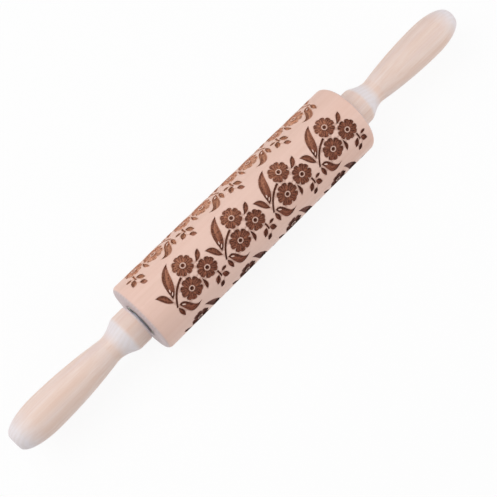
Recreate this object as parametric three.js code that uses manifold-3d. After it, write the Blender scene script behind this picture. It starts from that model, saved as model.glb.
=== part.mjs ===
// Embossed rolling pin with an engraved barrel that turns on a through axle.
// Millimetres, +Z up. The axle lies along X and the origin is the middle of the pin.

import * as THREE from "three";
import { mergeVertices } from "three/addons/utils/BufferGeometryUtils.js";
import Module from "manifold-3d";

const wasm = await Module();
wasm.setup();

// Barrel
const barrelDiameter = 50;
const barrelLength = 185;
const barrelEdgeRadius = 3.2;
const barrelBoreDiameter = 10;

// Engraving, which lies a little nearer to the right end
const engravingDepth = 1.6;
const engravingShift = 1.1;
const sprigPitch = 41;
const sprigSize = 40.6;
const rowPitch = 37.2;
const engravedMargin = 6;
const patternTurnDegrees = 16.5;

// Handles
const handleLength = 100;
const collarDiameter = 25.5;
const collarFaceDiameter = 23.2;
const collarRoundLength = 2.2;
const collarLength = 11;
const neckDiameter = 16.8;
const neckPlace = 24;
const gripDiameter = 24.8;
const gripPlace = 76;
const tipDiameter = 9;

// Axle and what turns on it
const axleDiameter = 8;
const studDiameter = 6;
const studLength = 22;
const bushDiameter = 16;
const bushLength = 14;
const flangeDiameter = 22;
const flangeThickness = 2;
const washerDiameter = 18;
const washerThickness = 1;

// Lock nuts and handle inserts
const nutAcrossFlats = 10;
const nutThickness = 4;
const insertDiameter = 9;
const insertLength = 18;
const drillRunout = 5;

// Clearances
const runningClearance = 0.1;
const seatClearance = 0.1;
const endPlay = 0.25;
const cutOverrun = 1;
const mergeDistance = 1e-4;

// Counts of flat facets round a turned piece
const barrelFacets = 32;
const handleFacets = 28;
const hardwareFacets = 20;
const nutSides = 6;

const barrelRadius = barrelDiameter / 2;
const barrelEnd = barrelLength / 2;
const axleShoulder = barrelEnd + endPlay;
const washerFace = axleShoulder + washerThickness;
const handleFace = washerFace + endPlay;
const nutRecessDepth = nutThickness + seatClearance;
const insertFace = handleFace + nutRecessDepth;
const studEnd = axleShoulder + studLength;

const woods = {
  barrel: { color: 0xe6cbb9, roughness: 0.6, metalness: 0 },
  handle: { color: 0xe8d4c4, roughness: 0.6, metalness: 0 },
};
const hardware = {
  steel: { color: 0xb8bcc0, roughness: 0.3, metalness: 1 },
  brass: { color: 0xc9a55c, roughness: 0.35, metalness: 1 },
  nylon: { color: 0xe9e7e0, roughness: 0.5, metalness: 0 },
};

// Corner radius that puts the middle of each flat facet at the true radius, as holes need
function facetRadius(radius, facets) {
  return radius / Math.cos(Math.PI / facets);
}

function aroundFacets(profile, facets) {
  return profile.map(([radius, place]) => [facetRadius(radius, facets), place]);
}

// Turned solid about X from a profile of [radius, place along X] points
function turned(profile, facets) {
  const points = profile.map(([radius, place]) => new THREE.Vector2(radius, place));
  const geometry = new THREE.LatheGeometry(points, facets, Math.PI / facets);
  const axes = new THREE.Matrix4().makeBasis(
    new THREE.Vector3(0, 0, 1),
    new THREE.Vector3(1, 0, 0),
    new THREE.Vector3(0, 1, 0),
  );
  return geometry.applyMatrix4(axes);
}

// Turned ring whose profile closes on itself
function turnedRing(profile, facets) {
  return turned([...profile, profile[0]], facets);
}

function toSolid(geometry) {
  const bare = geometry.clone();
  bare.deleteAttribute("normal");
  bare.deleteAttribute("uv");
  const merged = mergeVertices(bare, mergeDistance);
  const corners = merged.index.array;
  const faces = [];
  for (let i = 0; i < corners.length; i += 3) {
    const [a, b, c] = [corners[i], corners[i + 1], corners[i + 2]];
    if (a !== b && b !== c && c !== a) faces.push(a, b, c);
  }
  return new wasm.Manifold(
    new wasm.Mesh({
      numProp: 3,
      vertProperties: merged.attributes.position.array,
      triVerts: new Uint32Array(faces),
    }),
  );
}

function toGeometry(solid) {
  const { vertProperties, triVerts } = solid.getMesh();
  const geometry = new THREE.BufferGeometry();
  geometry.setAttribute("position", new THREE.BufferAttribute(vertProperties, 3));
  geometry.setIndex(new THREE.BufferAttribute(triVerts, 1));
  const flat = geometry.toNonIndexed();
  flat.computeVertexNormals();
  return flat;
}

// Sprig of three flowers and leaves. Places are shares of the sprig size:
// u runs along the barrel, v round it.
const flowerShares = [
  { at: [0.135, -0.135], radius: 0.162, turn: 0.3 },
  { at: [0.004, 0.2], radius: 0.174, turn: 0 },
  { at: [0.376, 0.136], radius: 0.157, turn: 0.5 },
];
const flowerSquashShare = 0.95;
const petals = 5;
const petalEdgeShares = [
  [-0.5, 0.8],
  [0, 1],
];

// Each leaf: base, tip, and how far its two edges swing out at a third and two
// thirds of its length, as shares of that length
const leafShares = [
  { base: [-0.309, 0.125], tip: [-0.001, -0.342], near: [0.233, 0.313], far: [-0.24, 0.03], steps: 3 },
  { base: [-0.299, 0.245], tip: [-0.001, 0.475], near: [0.296, -0.328], far: [-0.146, -0.65], steps: 3 },
  { base: [-0.341, 0.27], tip: [-0.01, -0.03], near: [0.17, 0.22], far: [0.135, 0.11], steps: 3 },
  { base: [-0.336, 0.168], tip: [-0.496, -0.055], near: [0.15, 0.07], far: [-0.24, -0.31], steps: 2 },
  { base: [0.291, -0.04], tip: [0.461, -0.17], near: [0.1, 0.28], far: [-0.1, -0.26], steps: 2 },
  { base: [0.211, 0.208], tip: [0.186, 0.38], near: [0.16, 0.26], far: [-0.16, -0.26], steps: 2 },
  { base: [-0.331, 0.278], tip: [-0.319, 0.445], near: [0.28, 0.28], far: [-0.28, -0.28], steps: 2 },
  { base: [0.439, 0.36], tip: [0.344, 0.468], near: [0.28, 0.3], far: [-0.28, -0.3], steps: 2 },
  { base: [0.489, 0.375], tip: [0.586, 0.48], near: [0.33, 0.3], far: [-0.33, -0.3], steps: 2 },
];

function flowerOutline({ at, radius, turn }) {
  const outline = [];
  for (let petal = 0; petal < petals; petal += 1) {
    for (const [swing, reach] of petalEdgeShares) {
      const angle = ((petal + swing + turn) / petals) * 2 * Math.PI;
      const length = radius * reach * sprigSize;
      outline.push([
        at[0] * sprigSize + length * Math.cos(angle),
        at[1] * sprigSize + length * Math.sin(angle) * flowerSquashShare,
      ]);
    }
  }
  return outline;
}

// Point on a leaf's edge, where [first, second] are the edge's two swings
function leafEdge(base, tip, [first, second], along) {
  const back = 1 - along;
  const across = 3 * along * back * back * first + 3 * along * along * back * second;
  const run = [tip[0] - base[0], tip[1] - base[1]];
  return [
    (base[0] + run[0] * along + run[1] * across) * sprigSize,
    (base[1] + run[1] * along - run[0] * across) * sprigSize,
  ];
}

function leafOutline({ base, tip, near, far, steps }) {
  const outline = [];
  for (let i = 0; i < steps; i += 1) outline.push(leafEdge(base, tip, near, i / steps));
  for (let i = steps; i > 0; i -= 1) outline.push(leafEdge(base, tip, far, i / steps));
  return outline;
}

// Radial prism over an outline, mirrored and moved along the barrel, for cutting one pocket
function pocketCutter(outline, mirrored, place, rowAngle) {
  const middle = outline.reduce((sum, [, v]) => sum + v, 0) / outline.length;
  const points = outline.map(([u, v]) => {
    const across = barrelRadius * Math.sin((v - middle) / barrelRadius);
    return new THREE.Vector2(place + (mirrored ? -u : u), -across);
  });
  // The surface falls away towards the outline's far sides, and the cut follows it down
  const reach = Math.max(...outline.map(([, v]) => Math.abs(v - middle)));
  const fallAway = barrelRadius * (1 - Math.cos(reach / barrelRadius));
  const height = cutOverrun + fallAway + engravingDepth + cutOverrun;
  const prism = new THREE.ExtrudeGeometry(new THREE.Shape(points), {
    depth: height,
    bevelEnabled: false,
  });
  prism.translate(0, 0, barrelRadius + cutOverrun - height);
  prism.rotateX(rowAngle + middle / barrelRadius);
  return toSolid(prism);
}

// Every pocket of the engraving, down to a floor of even depth
function engraving() {
  const outlines = [...flowerShares.map(flowerOutline), ...leafShares.map(leafOutline)];
  const sprigs = Math.floor((barrelLength - 2 * engravedMargin) / sprigPitch);
  const rows = Math.floor((2 * Math.PI * barrelRadius) / rowPitch);
  const patternTurn = THREE.MathUtils.degToRad(patternTurnDegrees);
  const cutters = [];
  for (let row = 0; row < rows; row += 1) {
    const rowAngle = patternTurn + ((row - 1) * rowPitch) / barrelRadius;
    for (let sprig = 0; sprig < sprigs; sprig += 1) {
      const place = engravingShift + (sprig - (sprigs - 1) / 2) * sprigPitch;
      for (const outline of outlines) {
        cutters.push(pocketCutter(outline, row % 2 === 0, place, rowAngle));
      }
    }
  }
  const floorRadius = barrelRadius - engravingDepth;
  const floorProfile = [
    [0, -barrelEnd],
    [floorRadius, -barrelEnd],
    [floorRadius, barrelEnd],
    [0, barrelEnd],
  ];
  const floor = turned(aroundFacets(floorProfile, barrelFacets), barrelFacets);
  return wasm.Manifold.union(cutters).subtract(toSolid(floor));
}

// Half of the barrel's profile, from the bore at mid length out to the rounded edge
function barrelHalfProfile(side) {
  const boreRadius = barrelBoreDiameter / 2;
  const bushRadius = bushDiameter / 2 + seatClearance;
  const flangeRadius = flangeDiameter / 2 + seatClearance;
  const bushSeat = barrelEnd - bushLength - seatClearance;
  const flangeSeat = barrelEnd - flangeThickness - seatClearance;
  const profile = [
    [boreRadius, side * bushSeat],
    [bushRadius, side * bushSeat],
    [bushRadius, side * flangeSeat],
    [flangeRadius, side * flangeSeat],
    [flangeRadius, side * barrelEnd],
  ];
  const edgeSteps = 3;
  for (let i = 0; i <= edgeSteps; i += 1) {
    const angle = (i / edgeSteps) * (Math.PI / 2);
    profile.push([
      barrelRadius - barrelEdgeRadius * (1 - Math.sin(angle)),
      side * (barrelEnd - barrelEdgeRadius * (1 - Math.cos(angle))),
    ]);
  }
  return profile;
}

function barrelGeometry() {
  const left = barrelHalfProfile(-1);
  const right = barrelHalfProfile(1).reverse();
  const blank = turnedRing(aroundFacets([...left, ...right], barrelFacets), barrelFacets);
  return toGeometry(toSolid(blank).subtract(engraving()));
}

function bushGeometry(side) {
  const boreRadius = facetRadius(axleDiameter / 2 + runningClearance, hardwareFacets);
  const inner = side * (barrelEnd - bushLength);
  const shoulder = side * (barrelEnd - flangeThickness);
  const outer = side * barrelEnd;
  const profile = [
    [boreRadius, inner],
    [bushDiameter / 2, inner],
    [bushDiameter / 2, shoulder],
    [flangeDiameter / 2, shoulder],
    [flangeDiameter / 2, outer],
    [boreRadius, outer],
  ];
  return turnedRing(side > 0 ? profile : profile.reverse(), hardwareFacets);
}

function axleGeometry() {
  const axleRadius = axleDiameter / 2;
  const studRadius = studDiameter / 2;
  return turned(
    [
      [0, -studEnd],
      [studRadius, -studEnd],
      [studRadius, -axleShoulder],
      [axleRadius, -axleShoulder],
      [axleRadius, axleShoulder],
      [studRadius, axleShoulder],
      [studRadius, studEnd],
      [0, studEnd],
    ],
    hardwareFacets,
  );
}

// Tube round the stud, on one side of the pin, from near to far
function studSleeve(outerRadius, near, far, side) {
  const innerRadius = facetRadius(studDiameter / 2 + seatClearance, hardwareFacets);
  const [start, end] = side > 0 ? [near, far] : [-far, -near];
  const profile = [
    [innerRadius, start],
    [outerRadius, start],
    [outerRadius, end],
    [innerRadius, end],
  ];
  return turnedRing(profile, hardwareFacets);
}

function nutGeometry(side) {
  const corner = nutAcrossFlats / 2 / Math.cos(Math.PI / nutSides);
  const shape = new THREE.Shape();
  for (let i = 0; i < nutSides; i += 1) {
    const angle = (i / nutSides) * 2 * Math.PI;
    const point = [corner * Math.cos(angle), corner * Math.sin(angle)];
    if (i === 0) shape.moveTo(...point);
    else shape.lineTo(...point);
  }
  shape.closePath();
  const hole = new THREE.Path();
  const holeRadius = facetRadius(studDiameter / 2 + seatClearance, hardwareFacets);
  hole.absarc(0, 0, holeRadius, 0, 2 * Math.PI, true);
  shape.holes.push(hole);
  const nut = new THREE.ExtrudeGeometry(shape, {
    depth: nutThickness,
    bevelEnabled: false,
    curveSegments: hardwareFacets,
  });
  nut.rotateY(Math.PI / 2);
  return nut.translate(side > 0 ? washerFace : -washerFace - nutThickness, 0, 0);
}

// Outside of the handle as [radius, distance from its collar face]
function handleOutline() {
  const collarRadius = collarDiameter / 2;
  const neckRadius = neckDiameter / 2;
  const gripRadius = gripDiameter / 2;
  const tipRadius = tipDiameter / 2;
  const outline = [
    [collarFaceDiameter / 2, 0],
    [collarRadius, collarRoundLength],
    [collarRadius, collarLength],
  ];
  // Cove from the collar down to the neck
  const coveSteps = 4;
  for (let i = 1; i <= coveSteps; i += 1) {
    const share = i / coveSteps;
    outline.push([
      collarRadius + (neckRadius - collarRadius) * Math.sin((share * Math.PI) / 2),
      collarLength + (neckPlace - collarLength) * share,
    ]);
  }
  // Long swell from the neck up to the grip
  const swellSteps = 5;
  for (let i = 1; i <= swellSteps; i += 1) {
    const share = i / swellSteps;
    outline.push([
      gripRadius - (gripRadius - neckRadius) * (1 - share) ** 2,
      neckPlace + (gripPlace - neckPlace) * share,
    ]);
  }
  // Crown that ends in the small flat
  const crownSteps = 5;
  for (let i = 1; i <= crownSteps; i += 1) {
    const angle = (i / crownSteps) * (Math.PI / 2);
    outline.push([
      tipRadius + (gripRadius - tipRadius) * Math.cos(angle),
      gripPlace + (handleLength - gripPlace) * Math.sin(angle),
    ]);
  }
  return outline;
}

function handleGeometry(side) {
  const nutRecessRadius = nutAcrossFlats / 2 / Math.cos(Math.PI / nutSides) + seatClearance;
  const insertBoreRadius = insertDiameter / 2 + seatClearance;
  const drillRadius = studDiameter / 2 + seatClearance;
  const insertEnd = nutRecessDepth + insertLength + seatClearance;
  const profile = [
    [0, insertEnd + drillRunout],
    [drillRadius, insertEnd + drillRunout],
    [drillRadius, insertEnd],
    [insertBoreRadius, insertEnd],
    [insertBoreRadius, nutRecessDepth],
    [nutRecessRadius, nutRecessDepth],
    [nutRecessRadius, 0],
    ...handleOutline(),
    [0, handleLength],
  ];
  const placed = profile.map(([radius, distance]) => [radius, side * (handleFace + distance)]);
  const ordered = side > 0 ? placed : placed.reverse();
  return turned(aroundFacets(ordered, handleFacets), handleFacets);
}

function named(name, geometry, finish) {
  const mesh = new THREE.Mesh(geometry, new THREE.MeshStandardMaterial(finish));
  mesh.name = name;
  return mesh;
}

const pin = new THREE.Group();
pin.add(named("barrel", barrelGeometry(), woods.barrel));
pin.add(named("axle_rod", axleGeometry(), hardware.steel));

for (const [end, side] of [["left", -1], ["right", 1]]) {
  const washer = studSleeve(washerDiameter / 2, axleShoulder, washerFace, side);
  const insert = studSleeve(insertDiameter / 2, insertFace, insertFace + insertLength, side);
  pin.add(named(`${end}_bush`, bushGeometry(side), hardware.nylon));
  pin.add(named(`${end}_thrust_washer`, washer, hardware.steel));
  pin.add(named(`${end}_lock_nut`, nutGeometry(side), hardware.steel));
  pin.add(named(`${end}_threaded_insert`, insert, hardware.brass));
  pin.add(named(`${end}_handle`, handleGeometry(side), woods.handle));
}

export default pin;
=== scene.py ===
from math import ceil, cos, exp, pi, radians, sin, sqrt, tan

import bmesh
import bpy
from mathutils import Matrix, Vector
from mathutils.geometry import delaunay_2d_cdt
from mathutils.kdtree import KDTree


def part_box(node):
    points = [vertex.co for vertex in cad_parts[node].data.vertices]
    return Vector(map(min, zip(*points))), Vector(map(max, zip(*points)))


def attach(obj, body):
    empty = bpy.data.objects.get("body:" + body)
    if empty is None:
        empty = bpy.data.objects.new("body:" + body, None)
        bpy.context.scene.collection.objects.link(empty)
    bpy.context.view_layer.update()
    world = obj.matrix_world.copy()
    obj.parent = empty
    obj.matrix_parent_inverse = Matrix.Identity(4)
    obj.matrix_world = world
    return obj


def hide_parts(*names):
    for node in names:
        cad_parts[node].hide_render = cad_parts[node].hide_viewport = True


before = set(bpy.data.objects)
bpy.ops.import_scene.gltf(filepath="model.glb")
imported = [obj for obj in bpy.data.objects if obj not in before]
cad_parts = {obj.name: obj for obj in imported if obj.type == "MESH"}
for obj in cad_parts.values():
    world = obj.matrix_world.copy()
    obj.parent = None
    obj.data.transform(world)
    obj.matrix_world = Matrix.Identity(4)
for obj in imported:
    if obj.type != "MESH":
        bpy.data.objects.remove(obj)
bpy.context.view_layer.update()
mm = 0.001


def packedBox(node):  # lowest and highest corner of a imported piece, in mm
    low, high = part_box(node)
    return low / mm, high / mm


def linearColour(hexColour):
    channels = [int(hexColour[i:i + 2], 16) / 255 for i in (1, 3, 5)]
    return [c / 12.92 if c <= 0.04045 else ((c + 0.055) / 1.055) ** 2.4 for c in channels] + [1]


def addNode(tree, kind, inputs=None, stops=None, **settings):  # a node as an input means its first output
    node = tree.nodes.new(kind)
    for name, value in settings.items():
        setattr(node, name, value)
    for socket, value in (inputs or {}).items():
        if isinstance(value, bpy.types.Node):
            value = value.outputs[0]
        if isinstance(value, bpy.types.NodeSocket):
            tree.links.new(value, node.inputs[socket])
        else:
            node.inputs[socket].default_value = value
    if stops:  # a ramp's stops, as (place, colour) from left to right
        elements = node.color_ramp.elements
        while len(elements) < len(stops):
            elements.new(1)
        for element, (place, colour) in zip(elements, stops):
            element.position = place
            element.color = linearColour(colour)
    return node


# Camera, where the photo was taken from

camera = {
    "place": (-0.15911, -0.17817, 0.60783),
    "right": (0.69235, -0.72101, -0.02813),
    "up": (0.68606, 0.64572, 0.33522),
    "lens": 76.06,
    "sensor": 36,
    "near": 0.01,
    "far": 20,
}


def makeCamera():
    data = bpy.data.cameras.new("camera")
    data.lens = camera["lens"]
    data.sensor_width = camera["sensor"]
    data.clip_start = camera["near"]
    data.clip_end = camera["far"]
    stand = bpy.data.objects.new("camera", data)
    right = Vector(camera["right"]).normalized()
    back = right.cross(Vector(camera["up"])).normalized()
    turn = Matrix((right, back.cross(right), back)).transposed()
    stand.matrix_world = Matrix.Translation(camera["place"]) @ turn.to_4x4()
    bpy.context.scene.collection.objects.link(stand)
    bpy.context.scene.camera = stand
    print("camera placed")


# Meshes

def newPiece(name, points, faces, carve=None):  # points in mm
    mesh = bpy.data.meshes.new(name)
    mesh.from_pydata([Vector(p) * mm for p in points], [], faces)
    if carve is not None:  # how deep each point is cut, as a share of the full depth
        mesh.attributes.new("carve", "FLOAT", "POINT").data.foreach_set("value", carve)
    piece = bpy.data.objects.new(name, mesh)
    bpy.context.scene.collection.objects.link(piece)
    return piece


def joined(parts):  # several (points, faces, carve) as one
    points, faces, carve = [], [], []
    for partPoints, partFaces, partCarve in parts:
        start = len(points)
        points += partPoints
        faces += [[start + corner for corner in face] for face in partFaces]
        carve += partCarve
    return points, faces, carve


def newTree(name, inputs):  # inputs as the names given to each kind of socket
    tree = bpy.data.node_groups.new(name, "GeometryNodeTree")
    for kind, socketNames in inputs.items():
        for socketName in socketNames:
            tree.interface.new_socket(socketName, in_out="INPUT", socket_type="NodeSocket" + kind)
    tree.interface.new_socket("Geometry", in_out="OUTPUT", socket_type="NodeSocketGeometry")
    return tree, addNode(tree, "NodeGroupInput").outputs


def roundAxis(tree, angle, radius):  # how far up and how far over, at an angle round the axis
    waves = [addNode(tree, "ShaderNodeMath", {0: angle}, operation=wave) for wave in ("COSINE", "SINE")]
    return [addNode(tree, "ShaderNodeMath", {0: radius, 1: wave}, operation="MULTIPLY") for wave in waves]


def closeShell(tree, sheet, places, weld, finish):  # the sheet moved to its places and welded shut
    moved = addNode(tree, "GeometryNodeSetPosition", {0: sheet, "Position": places})
    welded = addNode(tree, "GeometryNodeMergeByDistance", {0: moved, "Distance": weld * mm})
    finished = addNode(tree, "GeometryNodeSetMaterial", {0: welded, "Material": finish})
    addNode(tree, "NodeGroupOutput", {0: finished})


def applyTree(piece, tree, values):
    modifier = piece.modifiers.new(tree.name, "NODES")
    modifier.node_group = tree
    for socket in tree.interface.items_tree:
        if socket.in_out == "INPUT" and socket.name in values:
            modifier[socket.identifier] = values[socket.name]
    graph = bpy.context.evaluated_depsgraph_get()
    solid = bpy.data.meshes.new_from_object(piece.evaluated_get(graph), depsgraph=graph)
    piece.modifiers.clear()
    piece.data = solid


def finishShell(piece, sharpDegrees=32):  # closed shell with its faces outwards and its hard edges marked
    shell = bmesh.new()
    shell.from_mesh(piece.data)
    bmesh.ops.recalc_face_normals(shell, faces=shell.faces)
    if shell.calc_volume(signed=True) < 0:
        bmesh.ops.reverse_faces(shell, faces=shell.faces)
    openEdges = sum(not edge.is_manifold for edge in shell.edges)
    shell.to_mesh(piece.data)
    shell.free()
    piece.data.shade_smooth()
    piece.data.set_sharp_from_angle(angle=radians(sharpDegrees))
    print(f"{piece.name}: {len(piece.data.polygons)} faces, {openEdges} open edges")


def placeOnBody(piece, body, node):
    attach(piece, body)
    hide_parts(node)


# Materials

def newMaterial(name):
    material = bpy.data.materials.new(name)
    material.use_nodes = True
    material.node_tree.nodes.clear()
    return material, material.node_tree


def perMm(*sizes):  # scales that stretch a pattern to these sizes along X, Y and Z
    return [1 / (size * mm) for size in sizes]


def noisePattern(tree, sizes, detail, roughness=0.5):  # sizes in mm along X, Y and Z
    place = addNode(tree, "ShaderNodeTexCoord").outputs["Object"]
    stretched = addNode(tree, "ShaderNodeMapping", {"Vector": place, "Scale": perMm(*sizes)})
    return addNode(tree, "ShaderNodeTexNoise", {
        "Vector": stretched, "Scale": 1, "Detail": detail, "Roughness": roughness,
    })


bumpStrength = 0.5


def finishMaterial(tree, marks, depth, inputs):  # the shader, with these marks pressed into it
    bump = addNode(tree, "ShaderNodeBump", {
        "Height": marks, "Strength": bumpStrength, "Distance": depth * mm,
    })
    shader = addNode(tree, "ShaderNodeBsdfPrincipled", {"Normal": bump, **inputs})
    addNode(tree, "ShaderNodeOutputMaterial", {"Surface": shader})


beech = {
    "bandSize": (150, 9, 9),
    "grainSize": (60, 1.5, 1.5),
    "grainShown": (0.35, 0.7),
    "fleckSize": (2.2, 0.3, 0.3),
    "fleckShown": (0.64, 0.74),
    "detail": 3,
    "detailRoughness": 0.55,
    "ringSize": (60, 2.4, 2.4),
    "pith": (0, 13, -7),
    "ringWander": 3.5,
    "ringDetailScale": 0.5,
    "poreDepth": 0.03,
    "ior": 1.5,
}
oneRing = 2 * pi / 20  # a wave texture's Scale for one ring to each unit of its mapping


def beechTint(tree, tints):
    # Steamed beech, turned and sanded: pale and even, with soft lengthwise bands, a fine
    # grain and the short dark flecks of its rays, drawn a little coarse so that they show
    noise = {}
    for name in ("band", "grain", "fleck"):
        noise[name] = noisePattern(tree, beech[name + "Size"], beech["detail"], beech["detailRoughness"])
    colour = addNode(tree, "ShaderNodeValToRGB", {"Fac": noise["band"]}, stops=tints["bands"])
    for name in ("grain", "fleck"):
        start, full = beech[name + "Shown"]
        share = addNode(tree, "ShaderNodeMapRange", {
            "Value": noise[name], "From Min": start, "From Max": full, "To Max": tints[name + "Strength"],
        })
        colour = addNode(tree, "ShaderNodeMix", {
            "Factor": share, 6: colour, 7: linearColour(tints[name]),
        }, data_type="RGBA").outputs[2]
    # Greyer where the tool cut across the grain, with the rings of the tree's growth; this tint is painted
    # light and shade: paler as a painted highlight on the handles' necks and tips, darker as painted shade
    # on the barrel's end faces
    place = addNode(tree, "ShaderNodeTexCoord").outputs["Object"]
    fromPith = addNode(tree, "ShaderNodeMapping", {
        "Vector": place, "Location": beech["pith"], "Scale": perMm(*beech["ringSize"]),
    })
    rings = addNode(tree, "ShaderNodeTexWave", {
        "Vector": fromPith, "Scale": oneRing, "Distortion": beech["ringWander"],
        "Detail": beech["detail"], "Detail Scale": beech["ringDetailScale"],
    }, wave_type="RINGS", rings_direction="X")
    end = addNode(tree, "ShaderNodeValToRGB", {"Fac": rings.outputs["Fac"]}, stops=tints["end"])
    endPaintedLightShare = addNode(tree, "ShaderNodeAttribute", attribute_name="endGrainPaintedLight").outputs["Fac"]
    start, full = tints["endPaintedLightShown"]
    across = addNode(tree, "ShaderNodeMapRange", {
        "Value": endPaintedLightShare, "From Min": start, "From Max": full, "To Max": tints["endPaintedLightStrength"],
    })
    whole = addNode(tree, "ShaderNodeMix", {"Factor": across, 6: colour, 7: end}, data_type="RGBA")
    return whole.outputs[2], noise["grain"]


def finishBeech(tree, colour, roughness, grain):
    finishMaterial(tree, grain, beech["poreDepth"], {
        "Base Color": colour, "Roughness": roughness, "IOR": beech["ior"],
    })


# The mask also places the painted light and shade of the end tint: a painted highlight on the handles,
# painted shade on the barrel's ends
def markEndGrainPaintedLight(piece, shares):  # 0 along the grain, 1 square across it
    piece.data.attributes.new("endGrainPaintedLight", "FLOAT", "POINT").data.foreach_set("value", shares)


handleTints = {
    "bands": [(0.3, "#e8d2cb"), (0.5, "#edd8ce"), (0.7, "#e6c9ba")],
    "grain": "#dcb59e",
    "grainStrength": 0.4,
    "fleck": "#c9a58c",
    "fleckStrength": 0.35,
    # The end tint is a painted highlight: the necks and tips, which face along the axis, are drawn nearly
    # white
    "end": [(0.2, "#e9e4e9"), (0.8, "#e5dfe2")],
    "endPaintedLightStrength": 0.8,
    "endPaintedLightShown": (0.1, 0.38),
    "roughness": 0.5,
}


def turnedBeech():
    material, tree = newMaterial("turned beech, sanded")
    colour, grain = beechTint(tree, handleTints)
    finishBeech(tree, colour, handleTints["roughness"], grain)
    return material


barrelTints = {
    "bands": [(0.3, "#e6c3b4"), (0.5, "#eac7b9"), (0.72, "#e4bdad")],
    "grain": "#dab09b",
    "grainStrength": 0.2,
    "fleck": "#cb9f8a",
    "fleckStrength": 0.25,
    # The end tint is painted shade: the barrel's rounded edges and end faces are drawn darker and greyer
    # than its side
    "end": [(0.2, "#cbbcbf"), (0.8, "#c3b4b6")],
    "endPaintedLightStrength": 0.9,
    "endPaintedLightShown": (0.55, 0.85),
    "roughness": 0.5,
    "burn": [
        (0.04, "#ddab8e"), (0.1, "#956f5c"), (0.5, "#956f5c"), (0.64, "#ffd0ad"), (0.84, "#d49f85"),
        (1.0, "#704a3d"),
    ],
    "burnUneven": 0.65,
    "burnShown": (0.02, 0.08),
    "burnRoughness": 0.9,
    "sootSize": (0.7, 0.7, 0.7),
    "sootDetail": 4,
    "sootRoughness": 0.6,
    # Painted shade and light on the burn: the side it darkens towards, the darkening across the barrel, and
    # a pale tint for the lit side
    "paintedShadeSide": (0, -0.965, -0.26),
    "sides": [
        (0.035, "#ffffff"), (0.08, "#fff7ed"), (0.15, "#deccbd"), (0.25, "#e0cece"), (0.35, "#ceb4a6"),
        (0.5, "#af8e81"), (0.7, "#ac8b7e"), (0.82, "#b1897c"), (0.93, "#886c6b"),
    ],
    "paintedLitBurn": "#cf9d84",
    "paintedLitBurnStrength": 0.75,
    "paintedLitBurnShown": (0.13, 0.04),
}


def engravedBeech():
    # The same beech with its cut parts burnt by the laser: dark brown walls and rims, floors
    # that are browner where it cut deepest and a little mottled, and painted light and shade on
    # the burn: darker towards one side of the barrel and lighter on the other, turning with it
    material, tree = newMaterial("laser engraved beech")
    colour, grain = beechTint(tree, barrelTints)
    carve = addNode(tree, "ShaderNodeAttribute", attribute_name="carve").outputs["Fac"]
    soot = noisePattern(
        tree, barrelTints["sootSize"], barrelTints["sootDetail"], barrelTints["sootRoughness"],
    )
    swing = barrelTints["burnUneven"]
    uneven = addNode(tree, "ShaderNodeMath", {0: soot, 1: swing, 2: -swing / 2}, operation="MULTIPLY_ADD")
    depth = addNode(tree, "ShaderNodeMath", {0: carve, 1: uneven}, operation="ADD")
    burnt = addNode(tree, "ShaderNodeValToRGB", {"Fac": depth}, stops=barrelTints["burn"])
    # Painted shade: the burn is multiplied darker towards one side of the barrel
    place = addNode(tree, "ShaderNodeTexCoord").outputs["Object"]
    across = addNode(tree, "ShaderNodeVectorMath", {
        0: place, 1: barrelTints["paintedShadeSide"],
    }, operation="DOT_PRODUCT")
    radius = packedBox("barrel")[1].z * mm
    side = addNode(tree, "ShaderNodeMapRange", {
        "Value": across.outputs["Value"], "From Min": -radius, "From Max": radius,
    })
    paintedSideShading = addNode(tree, "ShaderNodeValToRGB", {"Fac": side}, stops=barrelTints["sides"])
    burntAndShaded = addNode(tree, "ShaderNodeMix", {
        "Factor": 1, 6: burnt, 7: paintedSideShading,
    }, data_type="RGBA", blend_type="MULTIPLY")
    # Painted light: a pale orange is mixed into the burn on the side away from the painted shade
    start, full = barrelTints["paintedLitBurnShown"]
    paintedLitBurnShare = addNode(tree, "ShaderNodeMapRange", {
        "Value": side, "From Min": start, "From Max": full, "To Max": barrelTints["paintedLitBurnStrength"],
    })
    burntShadedAndLit = addNode(tree, "ShaderNodeMix", {
        "Factor": paintedLitBurnShare, 6: burntAndShaded.outputs[2], 7: linearColour(barrelTints["paintedLitBurn"]),
    }, data_type="RGBA")
    start, full = barrelTints["burnShown"]
    cut = addNode(tree, "ShaderNodeMapRange", {"Value": carve, "From Min": start, "From Max": full})
    mixed = addNode(tree, "ShaderNodeMix", {
        "Factor": cut, 6: colour, 7: burntShadedAndLit.outputs[2],
    }, data_type="RGBA")
    matte = addNode(tree, "ShaderNodeMapRange", {
        "Value": cut, "To Min": barrelTints["roughness"], "To Max": barrelTints["burnRoughness"],
    })
    finishBeech(tree, mixed.outputs[2], matte, grain)
    return material


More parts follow.
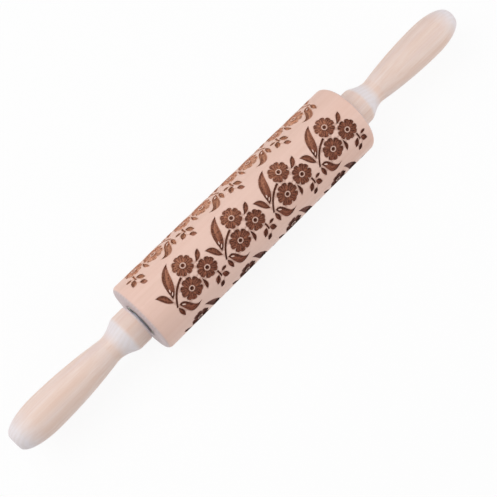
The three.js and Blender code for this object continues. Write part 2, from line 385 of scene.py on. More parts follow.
drawn = {
    "marks": {"sizes": (12, 0.25, 0.25), "detail": 3},
    "roughness": (0.22, 0.42),
    "shader": {"Metallic": 1},
}
hiddenLooks = {
    # Drawn steel: grey and glossy, with fine scratches along the rod
    "bright drawn steel": {"tints": [(0.3, "#b4b8bb"), (0.7, "#c6c9cb")], **drawn},
    # The washers' steel: a little darker and bluer, painted shade for the dark gap between each handle and
    # the barrel
    "shade darkened drawn steel": {"tints": [(0.3, "#8a8c97"), (0.7, "#a1a4ae")], **drawn},
    # Machined brass: warm yellow, with the fine rings that the tool leaves
    "machined brass": {
        "tints": [(0.3, "#c39c4e"), (0.7, "#d4b064")],
        "marks": {"sizes": (0.2, 8, 8), "detail": 2},
        "roughness": (0.25, 0.45),
        "shader": {"Metallic": 1},
    },
    # Natural moulded nylon: milky white and waxy, lets a little light in
    "moulded nylon": {
        "tints": [(0.3, "#e6e3da"), (0.7, "#efede6")],
        "marks": {"sizes": (0.6, 0.6, 0.6), "detail": 3},
        "shader": {
            "Roughness": 0.42, "IOR": 1.53, "Subsurface Weight": 0.15, "Subsurface Scale": 1 * mm,
        },
    },
}
markDepth = 0.01


def hiddenMaterial(name):
    look = hiddenLooks[name]
    material, tree = newMaterial(name)
    marks = noisePattern(tree, **look["marks"])
    colour = addNode(tree, "ShaderNodeValToRGB", {"Fac": marks}, stops=look["tints"])
    inputs = {"Base Color": colour, **look["shader"]}
    if "roughness" in look:
        low, high = look["roughness"]
        inputs["Roughness"] = addNode(tree, "ShaderNodeMapRange", {
            "Value": marks, "To Min": low, "To Max": high,
        })
    finishMaterial(tree, marks, markDepth, inputs)
    return material


# Engraved barrel, made flat and then bent round. Flat points are (place along the pin,
# place round it, height above the skin)

engraving = {
    "depth": 1.6,
    "floorEdge": 0.85,
    "rimScorch": 0.045,
    "sprigs": 4,
    "rows": 4,
    "shift": 1.1,
    "sprigSize": 40.6,
    "sprigPitch": 41,
    "rowPitch": 37.2,
    "rowTopShare": -0.3375,
    "turnDegrees": 16.5,
    "skinStep": 1.5,
    "skinClearance": 0.45,
    "pitchSteps": 27,
    "rowSteps": 24,
}
# Where one sprig's tile ends and the next begins, a line that no pocket reaches
seamShares = [
    (-0.523, -0.125), (-0.533, -0.03), (-0.458, 0.085), (-0.378, 0.198),
    (-0.385, 0.32), (-0.39, 0.475), (-0.425, 0.54),
]
flowers = [
    {"at": (0.135, -0.135), "radius": 0.17, "turn": -0.07},
    {"at": (0.004, 0.2), "radius": 0.181, "turn": -0.22},
    {"at": (0.376, 0.136), "radius": 0.166, "turn": 0.47},
]
petal = {
    "count": 5,
    "squash": 0.95,
    "steps": 16,
    "notchDepth": 0.28,
    "notchPower": 8,
    "dimpleDepth": 0.08,
    "dimpleWidth": 0.08,
    "rings": 6,
    "firstRing": 0.6,
    "ringSpan": 6.3,
    "floor": 0.86,
    "rib": 0.26,
    "ribFade": 0.5,
    "grooveEvery": 4,
    "eyeOuter": 0.049,
    "eyeInner": 0.031,
    "eyeEvery": 3,
    "eyeTop": 0.04,
}
# Each leaf: base, tip, and how far its two edges swing out at a third and two thirds of
# its length, as shares of that length
leafParts = ("base", "tip", "near", "far")
leaves = [dict(zip(leafParts, leaf)) for leaf in (
    ((-0.308, 0.124), (-0.008, -0.334), (0.2, 0.32), (-0.21, 0.04)),
    ((-0.298, 0.245), (0.01, 0.459), (0.37, -0.36), (-0.22, -0.7)),
    ((-0.335, 0.167), (-0.495, -0.058), (0.23, 0.03), (-0.22, -0.46)),
    ((0.301, -0.037), (0.462, -0.167), (-0.03, 0.28), (-0.32, -0.38)),
    ((0.211, 0.195), (0.185, 0.385), (0.18, 0.46), (-0.02, -0.12)),
    ((-0.332, 0.275), (-0.317, 0.45), (0.27, 0.31), (-0.28, -0.22)),
    ((0.438, 0.355), (0.342, 0.476), (0.24, 0.38), (-0.5, -0.28)),
    ((0.489, 0.379), (0.586, 0.477), (0.5, 0.3), (-0.42, -0.55)),
    ((0.459, 0.487), (0.371, 0.573), (0.28, 0.5), (-0.48, -0.35)),
    ((0.511, 0.337), (0.614, 0.322), (0.35, 0.33), (-0.24, -0.29)),
)]
leafSteps = 12
leafFloor = [(0.25, 0.96), (0.5, 0.81), (0.75, 0.9)]  # place across, depth share
stemFloor = 0.9
stems = [
    {"base": (-0.339, 0.262), "tip": (-0.008, -0.024), "bow": 0.103, "widths": (0.028, 0.035)},
    {"base": (0.455, 0.283), "tip": (0.465, 0.403), "bow": 0.04, "widths": (0.03, 0.026)},
]
# Slivers left standing near the foot of a leaf: middle, direction in degrees, length, width
slivers = [
    {"leaf": 0, "at": (-0.262, 0.002), "degrees": -68, "length": 0.05, "width": 0.018},
    {"leaf": 0, "at": (-0.262, 0.058), "degrees": -44, "length": 0.06, "width": 0.016},
    {"leaf": 1, "at": (-0.237, 0.295), "degrees": 38, "length": 0.062, "width": 0.022},
]
sliverTop = 0.02


def sized(point):  # a place in shares of the sprig, in mm
    return point[0] * engraving["sprigSize"], point[1] * engraving["sprigSize"]


def petalReach(across):  # across runs from -0.5 to 0.5 over one petal
    notch = petal["notchDepth"] * abs(2 * across) ** petal["notchPower"]
    dimple = petal["dimpleDepth"] * exp(-(across / petal["dimpleWidth"]) ** 2)
    return 1 - notch - dimple


def petalShare(step, along):  # a petal's floor, with a rib beside each petal and finer grooves between
    if step == 0:
        return petal["floor"] - petal["rib"] * (1 - petal["ribFade"] * along)
    return 1 if step % petal["grooveEvery"] == 0 else petal["floor"]


def loopOf(outline, share, standing=False):  # how deep its inside lies, for a standing one up to the edge
    return {"outline": outline, "share": share, "standing": standing}


def flowerPocket(flower):
    size = engraving["sprigSize"]
    middle = sized(flower["at"])
    steps = petal["steps"]

    def around(radius, step):
        angle = ((step / steps - 0.5 + flower["turn"]) / petal["count"]) * 2 * pi
        return middle[0] + radius * cos(angle), middle[1] + radius * sin(angle) * petal["squash"]

    total = petal["count"] * steps
    rims = [flower["radius"] * size * petalReach((step % steps) / steps - 0.5) for step in range(total)]
    outline = [around(rims[step], step) for step in range(total)]
    eye = petal["eyeOuter"] * size
    inner = []
    for ring in range(petal["rings"]):
        along = (ring + petal["firstRing"]) / petal["ringSpan"]
        for step in range(total):
            radius = eye + (rims[step] - eye) * along
            inner.append((around(radius, step), petalShare(step % steps, along)))
    eyeSteps = range(0, total, petal["eyeEvery"])
    eyeRing = [around(eye, step) for step in eyeSteps]
    pupil = [around(petal["eyeInner"] * size, step) for step in eyeSteps]
    return {
        "loops": [
            loopOf(outline, engraving["floorEdge"]),
            loopOf(eyeRing, petal["eyeTop"], True),
            loopOf(pupil, 1),
        ],
        "inner": inner + [(middle, 1)],
    }


def leafEdge(leaf, side, along):
    back = 1 - along
    swing = 3 * along * back * back * leaf[side][0] + 3 * along * along * back * leaf[side][1]
    base, tip = sized(leaf["base"]), sized(leaf["tip"])
    run = tip[0] - base[0], tip[1] - base[1]
    return base[0] + run[0] * along + run[1] * swing, base[1] + run[1] * along - run[0] * swing


def leafPocket(leaf, standing):
    near = [leafEdge(leaf, "near", i / leafSteps) for i in range(leafSteps)]
    far = [leafEdge(leaf, "far", i / leafSteps) for i in range(leafSteps, 0, -1)]
    inner = []
    for i in range(1, leafSteps):
        edges = leafEdge(leaf, "near", i / leafSteps), leafEdge(leaf, "far", i / leafSteps)
        for across, share in leafFloor:
            point = tuple(a + (b - a) * across for a, b in zip(*edges))
            if not any(isInside(point, sliver) for sliver in standing):
                inner.append((point, share))
    loops = [loopOf(near + far, engraving["floorEdge"])]
    loops += [loopOf(sliver, sliverTop, True) for sliver in standing]
    return {"loops": loops, "inner": inner}


def sliverOutline(sliver, steps=12):
    middle = Vector(sized(sliver["at"]))
    turn = Matrix.Rotation(radians(sliver["degrees"]), 2)
    size = engraving["sprigSize"] / 2
    length, width = sliver["length"] * size, sliver["width"] * size
    angles = [i / steps * 2 * pi for i in range(steps)]
    return [tuple(middle + turn @ Vector((length * cos(a), width * sin(a)))) for a in angles]


def stemPocket(stem, steps=10):
    base, tip = Vector(sized(stem["base"])), Vector(sized(stem["tip"]))
    foot, head = stem["widths"]
    run = tip - base
    across = Vector((run.y, -run.x))
    sides = [], []
    for i in range(steps + 1):
        along = i / steps
        middle = base + run * along + across * 4 * stem["bow"] * along * (1 - along)
        direction = (run + across * 4 * stem["bow"] * (1 - 2 * along)).normalized()
        width = (foot + (head - foot) * along) * engraving["sprigSize"]
        for side, outline in zip((0.5, -0.5), sides):
            outline.append(tuple(middle + Vector((direction.y, -direction.x)) * side * width))
    outline = sides[0] + sides[1][::-1]
    return {"loops": [loopOf(outline, stemFloor)], "inner": []}


def sprigPockets():
    pockets = [flowerPocket(flower) for flower in flowers]
    for i, leaf in enumerate(leaves):
        pockets.append(leafPocket(leaf, [sliverOutline(s) for s in slivers if s["leaf"] == i]))
    return pockets + [stemPocket(stem) for stem in stems]


def isInside(point, outline):
    u, v = point
    inside = False
    for (u1, v1), (u2, v2) in zip(outline, outline[1:] + outline[:1]):
        if (v1 > v) != (v2 > v) and u < (u2 - u1) * (v - v1) / (v2 - v1) + u1:
            inside = not inside
    return inside


def evenSteps(start, end, steps):  # from start up to, but without, the end
    return [tuple(a + (b - a) * i / steps for a, b in zip(start, end)) for i in range(steps)]


def skinPoints(boundary, outlines, step):  # staggered points that keep clear of every outline
    near = [point for outline in [boundary] + outlines for point in outline]
    tree = KDTree(len(near))
    for i, (u, v) in enumerate(near):
        tree.insert((u, v, 0), i)
    tree.balance()
    low = [min(point[axis] for point in boundary) for axis in (0, 1)]
    high = [max(point[axis] for point in boundary) for axis in (0, 1)]
    rowHeight = step * sqrt(3) / 2
    points = []
    for row in range(ceil((high[1] - low[1]) / rowHeight)):
        for column in range(ceil((high[0] - low[0]) / step) + 1):
            point = low[0] + (column + row % 2 / 2) * step, low[1] + row * rowHeight
            clear = tree.find((*point, 0))[2] > engraving["skinClearance"] * step
            if clear and isInside(point, boundary) and not any(isInside(point, o) for o in outlines):
                points.append(point)
    return points


insideOnly = 1  # the triangulation keeps what lies inside its outlines
samePlace = 1e-6


def carvedSheet(boundary, pockets):  # flat skin inside the boundary, with walls down to each pocket's floor
    loops = [loopOf(boundary, 0, True)]
    loops += [loop for pocket in pockets for loop in pocket["loops"]]
    coords, shares, corners = [], [], []
    for loop in loops:
        corners.append(list(range(len(coords), len(coords) + len(loop["outline"]))))
        coords += loop["outline"]
        shares += [engraving["floorEdge"] if loop["share"] else 0] * len(loop["outline"])
    for pocket in pockets:
        for point, share in pocket["inner"]:
            coords.append(point)
            shares.append(share)
    outlines = [pocket["loops"][0]["outline"] for pocket in pockets]
    skin = skinPoints(boundary, outlines, engraving["skinStep"])
    coords += skin
    shares += [0] * len(skin)
    flat, _, triangles, origins, _, owners = delaunay_2d_cdt(
        [Vector(c) for c in coords], [], corners, insideOnly, samePlace, True,
    )
    points, carve, faces, known, sides = [], [], [], {}, {}

    def corner(index, owner):
        if (index, owner) not in known:
            loop = loops[owner]
            given = shares[origins[index][0]] if origins[index] else loop["share"]
            share = loop["share"] if loop["standing"] else given
            known[index, owner] = len(points)
            points.append((flat[index].x, flat[index].y, -share * engraving["depth"]))
            carve.append(engraving["rimScorch"] if owner == 0 and given else share)  # skin scorched at a rim
        return known[index, owner]

    for triangle, owner in zip(triangles, owners):
        if owner:
            innermost = max(owner)
            faces.append([corner(index, innermost) for index in triangle])
            for edge in zip(triangle, triangle[1:] + triangle[:1]):
                sides.setdefault(frozenset(edge), []).append(innermost)
    for edge, beside in sides.items():
        if len(beside) == 2 and beside[0] != beside[1]:
            a, b = edge
            faces.append([
                corner(a, beside[0]), corner(b, beside[0]), corner(b, beside[1]), corner(a, beside[1]),
            ])
    return points, faces, carve


barrel = {
    "edgeRadius": 3.2,
    "edgeSteps": 8,
    "seatBreak": 0.4,
    "bushSeatDiameter": 16.2,
    "bushSeatDepth": 14.1,
    "flangeSeatDiameter": 22.2,
    "flangeSeatDepth": 2.1,
    "boreDiameter": 10,
    "plainSteps": 6,
    "weld": 0.005,
}


def barrelEnd(half, radius):  # (place along, height above the skin), from the rounded edge in to the bore
    edge = barrel["edgeRadius"]
    seat, bushSeat = barrel["flangeSeatDiameter"] / 2, barrel["bushSeatDiameter"] / 2
    flangeFloor, bushFloor = half - barrel["flangeSeatDepth"], half - barrel["bushSeatDepth"]
    section = []
    for i in range(1, barrel["edgeSteps"] + 1):
        angle = i / barrel["edgeSteps"] * pi / 2
        section.append((half - edge + edge * sin(angle), edge * (cos(angle) - 1)))
    section += [
        (half, seat + barrel["seatBreak"] - radius),
        (half - barrel["seatBreak"], seat - radius),
        (flangeFloor, seat - radius),
        (flangeFloor, bushSeat - radius),
        (bushFloor, bushSeat - radius),
        (bushFloor, barrel["boreDiameter"] / 2 - radius),
    ]
    return section


def carriedRound(section, rounds):  # a section's points repeated at each place round the pin
    width = len(section)
    points = [(place, v, height) for v in rounds for place, height in section]
    faces = []
    for row in range(len(rounds) - 1):
        for i in range(width - 1):
            start = row * width + i
            faces.append([start, start + 1, start + width + 1, start + width])
    return points, faces, [0] * len(points)


def realWith(tree, instances, other):  # the instances made real, together with another object
    found = addNode(tree, "GeometryNodeObjectInfo", {"Object": other})
    both = addNode(tree, "GeometryNodeJoinGeometry", {0: instances})
    tree.links.new(found.outputs["Geometry"], both.inputs[0])
    return addNode(tree, "GeometryNodeRealizeInstances", {0: both})


def engravingTree():
    tree, given = newTree("engraved barrel", {
        "Geometry": ["Sprig Tile"],
        "Object": ["Row Ends", "Plain Strip"],
        "Int": ["Sprigs", "Rows"],
        "Float": [
            "Sprig Pitch", "First Sprig", "Row Pitch", "Radius", "Turn", "Shift", "Shift Start", "Shift End",
        ],
        "Material": ["Wood"],
    })
    # Sprigs along one row, between its plain ends
    along = addNode(tree, "ShaderNodeCombineXYZ", {"X": given["Sprig Pitch"]})
    first = addNode(tree, "ShaderNodeCombineXYZ", {"X": given["First Sprig"]})
    places = addNode(tree, "GeometryNodeMeshLine", {
        "Count": given["Sprigs"], "Start Location": first, "Offset": along,
    })
    tiles = addNode(tree, "GeometryNodeInstanceOnPoints", {
        "Points": places, "Instance": given["Sprig Tile"],
    })
    row = realWith(tree, tiles, given["Row Ends"])
    # Rows round the barrel, every other one mirrored
    down = addNode(tree, "ShaderNodeCombineXYZ", {"Y": given["Row Pitch"]})
    rows = addNode(tree, "GeometryNodeMeshLine", {"Count": given["Rows"], "Offset": down})
    index = addNode(tree, "GeometryNodeInputIndex")
    odd = addNode(tree, "ShaderNodeMath", {0: index, 1: 2}, operation="MODULO")
    mirror = addNode(tree, "ShaderNodeMath", {0: odd, 1: 2, 2: -1}, operation="MULTIPLY_ADD")
    scale = addNode(tree, "ShaderNodeCombineXYZ", {"X": mirror, "Y": 1, "Z": 1})
    allRows = addNode(tree, "GeometryNodeInstanceOnPoints", {
        "Points": rows, "Instance": row, "Scale": scale,
    })
    flat = realWith(tree, allRows, given["Plain Strip"])
    # Bent round the axis: the height is added to the radius, the place round becomes an angle
    place = addNode(tree, "ShaderNodeSeparateXYZ", {0: addNode(tree, "GeometryNodeInputPosition")})
    arc = addNode(tree, "ShaderNodeMath", {0: place.outputs["Y"], 1: given["Radius"]}, operation="DIVIDE")
    angle = addNode(tree, "ShaderNodeMath", {0: arc, 1: given["Turn"]}, operation="ADD")
    reach = addNode(tree, "ShaderNodeMath", {0: place.outputs["Z"], 1: given["Radius"]}, operation="ADD")
    up, over = roundAxis(tree, angle, reach)
    away = addNode(tree, "ShaderNodeMath", {0: over, 1: -1}, operation="MULTIPLY")
    # The engraving lies a little off the middle, and the plain skin beside it takes that up
    fromMiddle = addNode(tree, "ShaderNodeMath", {0: place.outputs["X"]}, operation="ABSOLUTE")
    shift = addNode(tree, "ShaderNodeMapRange", {
        "Value": fromMiddle, "From Min": given["Shift Start"], "From Max": given["Shift End"],
        "To Min": given["Shift"], "To Max": 0,
    })
    shifted = addNode(tree, "ShaderNodeMath", {0: place.outputs["X"], 1: shift}, operation="ADD")
    bent = addNode(tree, "ShaderNodeCombineXYZ", {"X": shifted, "Y": away, "Z": up})
    closeShell(tree, flat, bent, barrel["weld"], given["Wood"])
    return tree


def makeBarrel(wood):
    high = packedBox("barrel")[1]
    half, radius = high.x, high.z
    pitch, rowPitch = engraving["sprigPitch"], engraving["rowPitch"]
    rowTop = engraving["rowTopShare"] * engraving["sprigSize"]
    rowBottom = rowTop + rowPitch
    rowEnd = engraving["sprigs"] / 2 * pitch
    skinEnd = half - barrel["edgeRadius"]
    marginSteps = round((skinEnd - rowEnd) / engraving["skinStep"])
    pitchSteps, rowSteps = engraving["pitchSteps"], engraving["rowSteps"]

    bends = [(-pitch / 2, rowTop)] + [sized(share) for share in seamShares] + [(-pitch / 2, rowBottom)]
    seam = []
    for start, end in zip(bends, bends[1:]):
        length = (Vector(end) - Vector(start)).length
        seam += evenSteps(start, end, ceil(length / engraving["skinStep"]))
    seam.append(bends[-1])

    def shifted(distance):
        return [(u + distance, v) for u, v in seam]

    tileEdge = evenSteps((-pitch / 2, rowTop), (pitch / 2, rowTop), pitchSteps)
    tileFoot = evenSteps((pitch / 2, rowBottom), (-pitch / 2, rowBottom), pitchSteps)
    tileBoundary = tileEdge + shifted(pitch)[:-1] + tileFoot + seam[:0:-1]
    left = (
        evenSteps((-skinEnd, rowTop), (-rowEnd, rowTop), marginSteps) + shifted(pitch / 2 - rowEnd)[:-1]
        + evenSteps((-rowEnd, rowBottom), (-skinEnd, rowBottom), marginSteps)
        + evenSteps((-skinEnd, rowBottom), (-skinEnd, rowTop), rowSteps)
    )
    right = (
        evenSteps((rowEnd, rowTop), (skinEnd, rowTop), marginSteps)
        + evenSteps((skinEnd, rowTop), (skinEnd, rowBottom), rowSteps)
        + evenSteps((skinEnd, rowBottom), (rowEnd, rowBottom), marginSteps)
        + shifted(pitch / 2 + rowEnd)[:0:-1]
    )
    end = barrelEnd(half, radius)
    otherEnd = [(-place, height) for place, height in reversed(end)]
    underside = [(skinEnd, 0)] + end + otherEnd + [(-skinEnd, 0)]
    rounds = [rowTop + rowPitch * i / rowSteps for i in range(rowSteps + 1)]
    tile = newPiece("engraved_barrel", *carvedSheet(tileBoundary, sprigPockets()))
    plain = [carvedSheet(left, []), carvedSheet(right, []), carriedRound(underside, rounds)]
    ends = newPiece("row_ends", *joined(plain))

    lastRow = rowTop + engraving["rows"] * rowPitch
    closing = rowTop + 2 * pi * radius
    steps = barrel["plainSteps"]
    plainRounds = [lastRow + (closing - lastRow) * i / steps for i in range(steps + 1)]
    topEdge = (
        evenSteps((-skinEnd, 0), (-rowEnd, 0), marginSteps)
        + evenSteps((-rowEnd, 0), (rowEnd, 0), pitchSteps * engraving["sprigs"])
        + evenSteps((rowEnd, 0), (skinEnd, 0), marginSteps)
    )
    strip = newPiece("plain_strip", *carriedRound(topEdge + underside, plainRounds))

    applyTree(tile, engravingTree(), {
        "Row Ends": ends, "Plain Strip": strip,
        "Sprigs": engraving["sprigs"], "Sprig Pitch": pitch * mm, "First Sprig": (pitch / 2 - rowEnd) * mm,
        "Rows": engraving["rows"], "Row Pitch": rowPitch * mm, "Radius": radius * mm,
        "Turn": radians(engraving["turnDegrees"]) - rowPitch / radius, "Shift": engraving["shift"] * mm,
        "Shift Start": (skinEnd - engraving["skinStep"]) * mm, "Shift End": skinEnd * mm, "Wood": wood,
    })
    for helper in (ends, strip):
        bpy.data.objects.remove(helper)
    finishShell(tile)
    edge = barrel["edgeRadius"]
    # The rounded edges and end faces take the painted shade
    markEndGrainPaintedLight(tile, [min(1, max(0, abs(v.co.x) / mm - skinEnd) / edge) for v in tile.data.vertices])
    placeOnBody(tile, "barrel", "barrel")


# Turned pieces, each a profile of (place along the pin, radius) spun about the axis

turnedWeld = 0.002


def turningTree():
    tree, given = newTree("turned on a lathe", {
        "Geometry": ["Profile"], "Int": ["Facets"], "Float": ["Thread Pitch", "Thread Depth"],
        "Material": ["Finish"],
    })
    count = addNode(tree, "GeometryNodeAttributeDomainSize", {0: given["Profile"]}, component="MESH")
    columns = addNode(tree, "ShaderNodeMath", {0: given["Facets"], 1: 1}, operation="ADD")
    grid = addNode(tree, "GeometryNodeMeshGrid", {
        "Vertices X": count.outputs["Point Count"], "Vertices Y": columns,
    })
    index = addNode(tree, "GeometryNodeInputIndex")
    station = addNode(tree, "ShaderNodeMath", {0: index, 1: columns}, operation="DIVIDE")
    along = addNode(tree, "ShaderNodeMath", {0: station}, operation="FLOOR")
    facet = addNode(tree, "ShaderNodeMath", {0: index, 1: columns}, operation="MODULO")
    turns = addNode(tree, "ShaderNodeMath", {0: facet, 1: given["Facets"]}, operation="DIVIDE")
    angle = addNode(tree, "ShaderNodeMath", {0: turns, 1: 2 * pi}, operation="MULTIPLY")
    point = addNode(tree, "GeometryNodeSampleIndex", data_type="FLOAT_VECTOR", inputs={
        "Geometry": given["Profile"], "Value": addNode(tree, "GeometryNodeInputPosition"),
        "Index": along,
    })
    profile = addNode(tree, "ShaderNodeSeparateXYZ", {0: point})
    # The profile's Y marks where a screw thread runs: its groove climbs one pitch a turn
    pitches = addNode(tree, "ShaderNodeMath", {
        0: profile.outputs["X"], 1: given["Thread Pitch"],
    }, operation="DIVIDE")
    climb = addNode(tree, "ShaderNodeMath", {0: pitches, 1: turns}, operation="SUBTRACT")
    wave = addNode(tree, "ShaderNodeMath", {0: climb, 1: 0.5}, operation="PINGPONG")
    groove = addNode(tree, "ShaderNodeMath", {0: wave, 1: given["Thread Depth"]}, operation="MULTIPLY")
    marked = addNode(tree, "ShaderNodeMath", {0: groove, 1: profile.outputs["Y"]}, operation="MULTIPLY")
    radius = addNode(tree, "ShaderNodeMath", {0: profile.outputs["Z"], 1: marked}, operation="SUBTRACT")
    up, over = roundAxis(tree, angle, radius)
    spun = addNode(tree, "ShaderNodeCombineXYZ", {"X": profile.outputs["X"], "Y": over, "Z": up})
    closeShell(tree, grid.outputs["Mesh"], spun, turnedWeld, given["Finish"])
    return tree


def turnedPiece(name, profile, finish, facets, threadPitch=1, threadDepth=0):
    # profile points are (place along, radius) or (place along, radius, True) inside a thread
    points = [(point[0], 1 / mm if point[2:] else 0, point[1]) for point in profile]
    edges = [(i, i + 1) for i in range(len(points) - 1)]
    piece = newPiece(name, points, edges)
    applyTree(piece, turning, {
        "Facets": facets, "Thread Pitch": threadPitch * mm, "Thread Depth": threadDepth * 2 * mm,
        "Finish": finish,
    })
    finishShell(piece)
    return piece


handle = {
    "collarFaceDiameter": 23.2,
    "collarRound": 2.2,
    "roundSteps": 8,
    "collarLength": 11,
    "neckDiameter": 16.8,
    "neckPlace": 24,
    "gripDiameter": 24.8,
    "gripPlace": 76,
    "tipDiameter": 9,
    "faceBreak": 0.4,
    "softening": 1.6,
    "softenedOver": (-1, -0.5, 0, 0.5, 1),
    "recessDiameter": 11.75,
    "recessDepth": 4.1,
    "insertBoreDiameter": 9.2,
    "insertBoreDepth": 22.2,
    "drillDiameter": 6.2,
    "drillDepth": 27.2,
    "bodySteps": 60,
    "bodyCrowding": 1.5,
    "crownSteps": 24,
    "facets": 96,
}


def handleRadius(place, length, collar):  # outside of the handle at a distance from its face
    neck, grip, tip = handle["neckDiameter"] / 2, handle["gripDiameter"] / 2, handle["tipDiameter"] / 2
    collarEnd, neckPlace, gripPlace = handle["collarLength"], handle["neckPlace"], handle["gripPlace"]
    if place < collarEnd:
        return collar
    if place < neckPlace:  # cove down to the neck
        return collar + (neck - collar) * sin((place - collarEnd) / (neckPlace - collarEnd) * pi / 2)
    if place < gripPlace:  # long swell up to the grip
        return grip - (grip - neck) * ((gripPlace - place) / (gripPlace - neckPlace)) ** 2
    return tip + (grip - tip) * sqrt(max(0, 1 - ((place - gripPlace) / (length - gripPlace)) ** 2))


def handleProfile(length, collar):  # from the bottom of its bore out over the face to the tip
    face, rounding = handle["collarFaceDiameter"] / 2, handle["collarRound"]
    profile = [(handle["drillDepth"] + handle["drillDiameter"] / 4, 0)]
    for bore, wider in (("drill", "insertBore"), ("insertBore", "recess")):
        radius = handle[bore + "Diameter"] / 2
        profile += [(handle[bore + "Depth"], radius), (handle[wider + "Depth"], radius)]
    recess, edge = handle["recessDiameter"] / 2, handle["faceBreak"]
    profile += [(handle["recessDepth"], recess), (edge, recess), (0, recess + edge)]
    for i in range(handle["roundSteps"] + 1):
        angle = radians(180 - 90 * i / handle["roundSteps"])
        profile.append((rounding + rounding * cos(angle), face + (collar - face) * sin(angle)))
    soft, gripPlace = handle["softening"], handle["gripPlace"]
    bodyStart = rounding + soft
    for i in range(handle["bodySteps"]):  # sanded soft where the collar meets the cove
        along = (i / handle["bodySteps"]) ** handle["bodyCrowding"]
        place = bodyStart + (gripPlace - bodyStart) * along
        radii = [handleRadius(place + soft * swing, length, collar) for swing in handle["softenedOver"]]
        profile.append((place, sum(radii) / len(radii)))
    for i in range(handle["crownSteps"] + 1):
        place = gripPlace + (length - gripPlace) * sin(i / handle["crownSteps"] * pi / 2)
        profile.append((place, handleRadius(place, length, collar)))
    return profile + [(length, 0)]


def makeHandles(wood):
    for side, node in ((-1, "left_handle"), (1, "right_handle")):
        low, high = packedBox(node)
        face = min(abs(low.x), abs(high.x))
        outside = handleProfile(high.x - low.x, high.z)
        profile = [(side * (face + along), radius) for along, radius in outside]
        piece = turnedPiece(node.replace("handle", "turned_handle"), profile, wood, handle["facets"])
        # Necks and tips facing along the axis take the painted highlight
        markEndGrainPaintedLight(piece, [abs(v.normal.x) for v in piece.data.vertices])
        placeOnBody(piece, "handles", node)


hardwareFacets = 64
stepsPerPitch = 8


def threaded(near, far, radius, pitch):  # profile points close enough to hold a thread
    steps = max(2, ceil(abs(far - near) / pitch * stepsPerPitch))
    return [(near + (far - near) * i / steps, radius, True) for i in range(steps + 1)]


bush = {
    "boreDiameter": 8.2,
    "bodyDiameter": 16,
    "flangeWidth": 2,
    "edge": 0.5,
}


def makeBushes(nylon):
    for side, node in ((-1, "left_bush"), (1, "right_bush")):
        low, high = packedBox(node)
        inner, outer = sorted((abs(low.x), abs(high.x)))
        bore, edge = bush["boreDiameter"] / 2, bush["edge"]
        body, flange = bush["bodyDiameter"] / 2, high.z
        shoulder = outer - bush["flangeWidth"]
        section = [
            (inner + edge, bore), (inner, bore + edge), (inner, body - edge), (inner + edge, body),
            (shoulder, body), (shoulder, flange - edge / 2), (shoulder + edge / 2, flange),
            (outer - edge / 2, flange), (outer, flange - edge / 2),
            (outer, bore + edge), (outer - edge, bore),
        ]
        profile = [(side * place, radius) for place, radius in section + section[:1]]
        piece = turnedPiece(node.replace("bush", "flanged_bush"), profile, nylon, hardwareFacets)
        placeOnBody(piece, "barrel", node)


washer = {
    "holeDiameter": 6.2,
    "edge": 0.12,
}


def makeWashers(steel):
    for node in ("left_thrust_washer", "right_thrust_washer"):
        low, high = packedBox(node)
        hole, outer, edge = washer["holeDiameter"] / 2, high.z, washer["edge"]
        section = [
            (low.x + edge, hole), (low.x, hole + edge), (low.x, outer - edge), (low.x + edge, outer),
            (high.x - edge, outer), (high.x, outer - edge), (high.x, hole + edge), (high.x - edge, hole),
        ]
        name, profile = node.replace("thrust", "steel_thrust"), section + section[:1]
        piece = turnedPiece(name, profile, steel, hardwareFacets)
        placeOnBody(piece, "handles", node)


rod = {
    "studDiameter": 6,
    "threadPitch": 1,
    "threadDepth": 0.5,
    "edge": 0.7,
}


def makeAxle(steel):
    high = packedBox("axle_rod")[1]
    shoulder = min(abs(corner.x) for corner in packedBox("right_thrust_washer"))
    stud, edge = rod["studDiameter"] / 2, rod["edge"]
    right = [(shoulder - edge / 2, high.z), (shoulder, high.z - edge / 2), (shoulder, stud)]
    right += threaded(shoulder + edge, high.x - edge, stud, rod["threadPitch"])
    right += [(high.x, stud - edge), (high.x, 0)]
    left = [(-point[0], *point[1:]) for point in reversed(right)]
    middle = [(shoulder * share, high.z) for share in (-0.5, 0, 0.5)]
    piece = turnedPiece(
        "steel_axle", left + middle + right, steel, hardwareFacets,
        rod["threadPitch"], rod["threadDepth"],
    )
    placeOnBody(piece, "handles", "axle_rod")


insert = {
    "holeDiameter": 6.2,
    "threadPitch": 2.5,
    "threadDepth": 0.8,
    "edge": 0.5,
}


def makeInserts(brass):
    for node in ("left_threaded_insert", "right_threaded_insert"):
        low, high = packedBox(node)
        hole, outer, edge = insert["holeDiameter"] / 2, high.z, insert["edge"]
        section = [(low.x + edge, hole), (low.x, hole + edge), (low.x, outer - edge)]
        section += threaded(low.x + edge, high.x - edge, outer, insert["threadPitch"])
        section += [(high.x, outer - edge), (high.x, hole + edge), (high.x - edge, hole)]
        piece = turnedPiece(
            node.replace("threaded", "brass"), section + section[:1], brass, hardwareFacets,
            insert["threadPitch"], insert["threadDepth"],
        )
        placeOnBody(piece, "handles", node)


nut = {
    "sides": 6,
    "stepsPerSide": 8,
    "holeDiameter": 6.2,
    "edge": 0.4,
    "crownShare": 0.95,
    "chamferDegrees": 30,
}


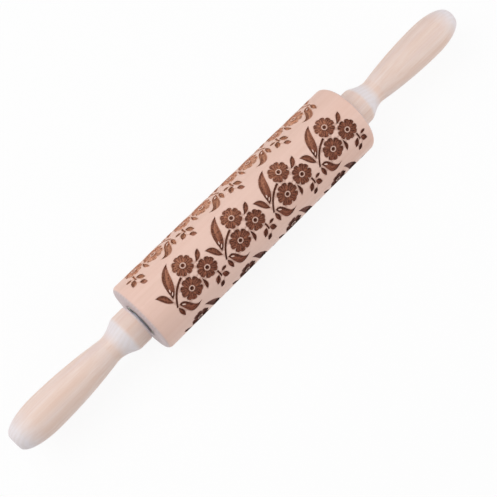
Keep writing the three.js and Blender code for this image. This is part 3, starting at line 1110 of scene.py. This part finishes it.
def makeNuts(steel):
    for node in ("left_lock_nut", "right_lock_nut"):
        low, high = packedBox(node)
        flat = max(high.y, high.z) * cos(pi / nut["sides"])
        facets = nut["sides"] * nut["stepsPerSide"]
        hole, edge = nut["holeDiameter"] / 2, nut["edge"]
        crown = flat * nut["crownShare"]
        points = []
        for facet in range(facets):
            angle = facet / facets * 2 * pi
            fromCorner = (angle + pi / nut["sides"]) % (2 * pi / nut["sides"]) - pi / nut["sides"]
            corner = flat / cos(abs(fromCorner) - pi / nut["sides"])
            fall = max(0, corner - crown) * tan(radians(nut["chamferDegrees"]))
            section = [
                (low.x + edge, hole), (low.x, hole + edge), (low.x, crown), (low.x + fall, corner),
                (high.x - fall, corner), (high.x, crown), (high.x, hole + edge), (high.x - edge, hole),
            ]
            turn = (sin(angle), cos(angle)) if high.z > high.y else (cos(angle), sin(angle))
            points += [(place, radius * turn[0], radius * turn[1]) for place, radius in section]
        width = len(section)
        faces = []
        for facet in range(facets):
            after = (facet + 1) % facets
            for i in range(width):
                j = (i + 1) % width
                faces.append([facet * width + i, facet * width + j, after * width + j, after * width + i])
        piece = newPiece(node.replace("lock_nut", "hexagon_nut"), points, faces)
        piece.data.materials.append(steel)
        finishShell(piece)
        placeOnBody(piece, "handles", node)


# Studio: a white sheet under the pin, and four soft lamps round it

studio = {
    "floorSize": 6,
    "floorTint": "#f7f7f7",
    "floorWhite": 0.9,
    "shadowReach": 0.35,
    "whiteReach": 1.2,
    "skyLight": 0.4,
    "lampSize": 0.9,
    "lamps": {
        "back lamp": {"place": (-0.15, 0.75, 0.85), "power": 2.3},
        "left lamp": {"place": (-0.7, 0.35, 0.9), "power": 4.4},
        "top lamp": {"place": (-0.2, 0.1, 1.2), "power": 1.6},
        "right lamp": {"place": (0.7, -0.45, 0.45), "power": 3.0},
    },
}


def seenBy(tree, *kinds):  # 1 on rays of these kinds, 0 on those that carry the light about
    rays = addNode(tree, "ShaderNodeLightPath")
    seen = rays.outputs[kinds[0]]
    for kind in kinds[1:]:
        seen = addNode(tree, "ShaderNodeMath", {0: seen, 1: rays.outputs[kind]}, operation="MAXIMUM")
    return seen


def makeFloor():
    half = studio["floorSize"] / 2 / mm
    height = packedBox("barrel")[0].z
    square = [(-half, -half, height), (half, -half, height), (half, half, height), (-half, half, height)]
    floor = newPiece("floor", square, [(0, 1, 2, 3)])
    material, tree = newMaterial("white paper sheet")
    # Plain white paper; the camera sees it nearly as white as the sky behind it, with a soft shadow
    paper = addNode(tree, "ShaderNodeBsdfDiffuse", {"Color": linearColour(studio["floorTint"])})
    white = addNode(tree, "ShaderNodeEmission", {"Color": linearColour("#ffffff"), "Strength": 1})
    seen = seenBy(tree, "Is Camera Ray", "Is Glossy Ray")
    # Further out, where no shadow falls, the sheet turns as white as the sky behind it
    place = addNode(tree, "ShaderNodeTexCoord").outputs["Object"]
    distance = addNode(tree, "ShaderNodeVectorMath", {0: place}, operation="LENGTH")
    whiteness = addNode(tree, "ShaderNodeMapRange", {
        "Value": distance.outputs["Value"], "From Min": studio["shadowReach"],
        "From Max": studio["whiteReach"], "To Min": studio["floorWhite"], "To Max": 1,
    })
    share = addNode(tree, "ShaderNodeMath", {0: seen, 1: whiteness}, operation="MULTIPLY")
    sheet = addNode(tree, "ShaderNodeMixShader", {0: share, 1: paper, 2: white})
    addNode(tree, "ShaderNodeOutputMaterial", {"Surface": sheet})
    floor.data.materials.append(material)


def makeLights():
    for name, lamp in studio["lamps"].items():
        data = bpy.data.lights.new(name, "AREA")
        data.shape = "DISK"
        data.size = studio["lampSize"]
        data.energy = lamp["power"]
        light = bpy.data.objects.new(name, data)
        place = Vector(lamp["place"])
        light.matrix_world = Matrix.Translation(place) @ place.to_track_quat("Z", "Y").to_matrix().to_4x4()
        bpy.context.scene.collection.objects.link(light)
    world = bpy.data.worlds.new("studio")
    world.use_nodes = True
    tree = world.node_tree
    tree.nodes.clear()
    seen = seenBy(tree, "Is Camera Ray", "Is Glossy Ray", "Is Transmission Ray")
    strength = addNode(tree, "ShaderNodeMapRange", {
        "Value": seen, "To Min": studio["skyLight"], "To Max": 1,
    })
    sky = addNode(tree, "ShaderNodeBackground", {"Color": linearColour("#ffffff"), "Strength": strength})
    addNode(tree, "ShaderNodeOutputWorld", {"Surface": sky})
    bpy.context.scene.world = world
    bpy.context.scene.view_settings.view_transform = "Standard"
    print("studio lit")


def corners(box):
    return [list(corner) for corner in box]


makeCamera()
turning = turningTree()
makeBarrel(engravedBeech())
makeHandles(turnedBeech())
makeBushes(hiddenMaterial("moulded nylon"))
steel = hiddenMaterial("bright drawn steel")
makeWashers(hiddenMaterial("shade darkened drawn steel"))
makeAxle(steel)
makeNuts(steel)
makeInserts(hiddenMaterial("machined brass"))
makeFloor()
makeLights()
